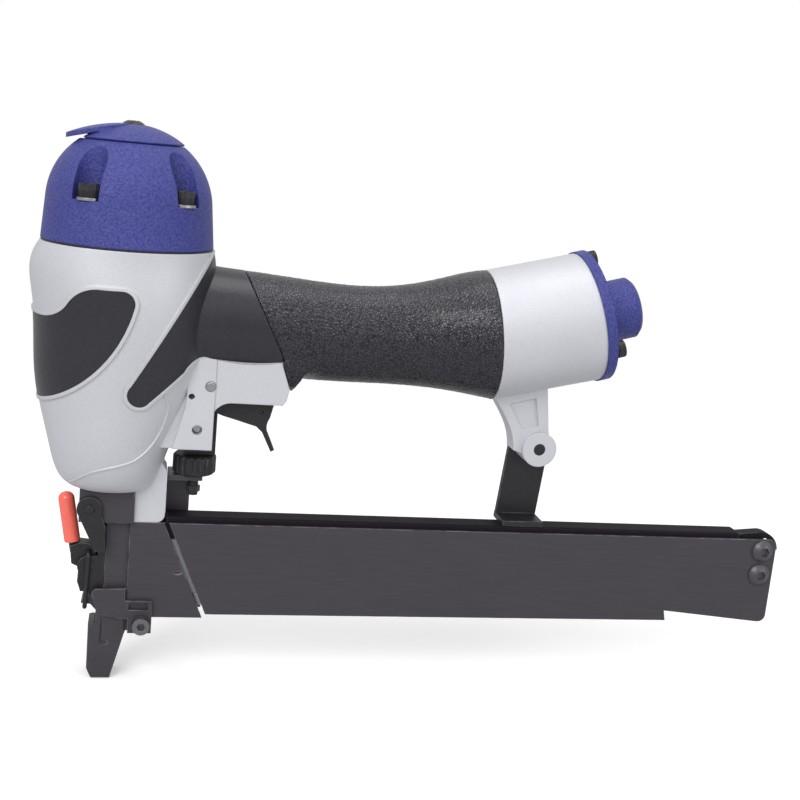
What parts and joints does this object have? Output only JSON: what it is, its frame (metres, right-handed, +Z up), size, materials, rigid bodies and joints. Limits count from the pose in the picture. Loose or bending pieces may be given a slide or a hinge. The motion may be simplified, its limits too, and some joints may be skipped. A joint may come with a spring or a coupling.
{
  "type": "narrow crown stapler",
  "caption": "Pneumatic narrow crown stapler with a cast head and grained grip, latched nose door, depth knob, contact foot and a long sliding staple magazine.",
  "frame": {"origin": "on the driver axis, in the plane of the contact foot's lower face", "axes": "+Z up along the driver towards the cap, +X back along the magazine towards the air inlet, Y across the tool"},
  "size_m": [0.3309, 0.0678, 0.2249],
  "materials": {
    "silver": "cast aluminium alloy, silver paint",
    "blue": "cast alloy, blue wrinkle paint",
    "rubber": "moulded black rubber, matt",
    "grain_rubber": "moulded black rubber with a leather grain",
    "black_steel": "pressed steel, black oxide and oil",
    "black_screw": "alloy steel, black oxide",
    "steel": "turned or drawn steel",
    "alloy": "turned aluminium",
    "red": "dipped red vinyl",
    "plastic": "moulded black nylon",
    "seal": "nitrile rubber"
  },
  "bodies": {
    "tool": {"housing": "silver", "front_pad": "rubber", "rear_pad": "rubber", "grip_sleeve": "grain_rubber", "cylinder_cap": "blue", "cap_gasket": "seal", "cap_bolts": "black_screw", "cap_washers": "steel", "deflector_screw": "black_screw", "cylinder_sleeve": "alloy", "bumper": "seal", "head_valve_spring": "steel", "end_cap": "blue", "end_cap_seal": "seal", "end_cap_screws": "black_screw", "inlet_screen": "steel", "trigger_pin": "steel", "trigger_spring": "steel", "valve_body": "plastic", "valve_seals": "seal", "valve_spring": "steel", "spring_pin": "steel", "safety_spring": "steel", "nose_body": "black_steel", "lug_screw": "black_screw", "side_plates": "black_steel", "door_hinge_pin": "black_screw", "magazine_rail": "black_steel", "support_strap": "black_steel", "strap_screw": "black_screw"},
    "driver": {"piston": "alloy", "piston_seal": "seal", "driver_blade": "steel"},
    "deflector": {"exhaust_deflector": "blue"},
    "firing_valve": {"head_valve": "plastic"},
    "trigger": {"trigger": "black_steel", "link_pin": "black_screw"},
    "trigger_link": {"trigger_link": "steel"},
    "valve_stem": {"valve_stem": "steel"},
    "safety": {"contact_foot": "black_steel", "safety_stud": "black_screw", "stud_nut": "black_screw", "upper_safety": "black_steel"},
    "depth_knob": {"depth_knob": "black_steel"},
    "front_door": {"front_door": "black_steel", "latch_pin": "black_screw"},
    "latch_lever": {"latch_lever": "black_steel", "latch_tip": "red"},
    "latch_bail": {"latch_bail": "black_screw"},
    "magazine_cover": {"magazine_cover": "black_steel", "core_rail": "steel", "spring_rod": "steel", "tail_block": "black_steel", "tail_screws": "black_screw", "catch_pin": "black_screw", "pusher_spring": "steel"},
    "pusher": {"pusher": "steel"},
    "rear_catch": {"rear_catch": "black_steel"}
  },
  "joints": [
    {"name": "driver_stroke", "type": "slide", "parent": "tool", "child": "driver", "axis": [0, 0, -1], "range_m": [0, 0.0546]},
    {"name": "deflector_turn", "type": "hinge", "parent": "tool", "child": "deflector", "pos_m": [0, 0, 0.219], "axis": [0, 0, 1], "continuous": true},
    {"name": "firing_valve_lift", "type": "slide", "parent": "tool", "child": "firing_valve", "axis": [0, 0, 1], "range_m": [0, 0.003], "stiffness_N_per_m": 400, "deforming": ["head_valve_spring"]},
    {"name": "trigger_pull", "type": "hinge", "parent": "tool", "child": "trigger", "pos_m": [0.0343, 0, 0.1264], "axis": [0, -1, 0], "range_deg": [0, 8], "stiffness_Nm_per_rad": 0.6},
    {"name": "valve_stem_lift", "type": "slide", "parent": "tool", "child": "valve_stem", "axis": [0, 0, 1], "range_m": [0, 0.0023], "deforming": ["valve_spring"]},
    {"name": "safety_lift", "type": "slide", "parent": "tool", "child": "safety", "axis": [0, 0, 1], "range_m": [0, 0.005], "stiffness_N_per_m": 600, "deforming": ["safety_spring"]},
    {"name": "trigger_link_tilt", "type": "hinge", "parent": "trigger", "child": "trigger_link", "pos_m": [0.055, 0, 0.116], "axis": [0, 1, 0], "range_deg": [0, 17]},
    {"name": "depth_knob_turn", "type": "hinge", "parent": "safety", "child": "depth_knob", "pos_m": [0.0304, 0, 0.0914], "axis": [0, 0, 1], "continuous": true},
    {"name": "front_door_swing", "type": "hinge", "parent": "tool", "child": "front_door", "pos_m": [-0.0098, 0, 0.0732], "axis": [0, 1, 0], "range_deg": [0, 80]},
    {"name": "latch_lever_swing", "type": "hinge", "parent": "front_door", "child": "latch_lever", "pos_m": [-0.0096, 0, 0.0475], "axis": [0, -1, 0], "range_deg": [0, 110]},
    {"name": "latch_bail_swing", "type": "hinge", "parent": "latch_lever", "child": "latch_bail", "pos_m": [-0.0096, 0, 0.0535], "axis": [0, -1, 0], "range_deg": [-110, 0]},
    {"name": "magazine_slide", "type": "slide", "parent": "tool", "child": "magazine_cover", "axis": [1, 0, 0], "range_m": [0, 0.15]},
    {"name": "pusher_slide", "type": "slide", "parent": "magazine_cover", "child": "pusher", "axis": [1, 0, 0], "range_m": [0, 0.19], "stiffness_N_per_m": 60, "springref_m": -0.05, "deforming": ["pusher_spring"]},
    {"name": "rear_catch_press", "type": "hinge", "parent": "magazine_cover", "child": "rear_catch", "pos_m": [0.2794, 0, 0.0634], "axis": [0, 1, 0], "range_deg": [0, 5], "stiffness_Nm_per_rad": 0.4}
  ],
  "couplings": [
    {"joint": "trigger_pull", "follows": "valve_stem_lift", "rad_per_m": 59.88},
    {"joint": "trigger_link_tilt", "follows": "safety_lift", "rad_per_m": 58},
    {"joint": "front_door_swing", "follows": "latch_lever_swing", "ratio": 0.72727},
    {"joint": "latch_bail_swing", "follows": "latch_lever_swing", "ratio": -1}
  ]
}
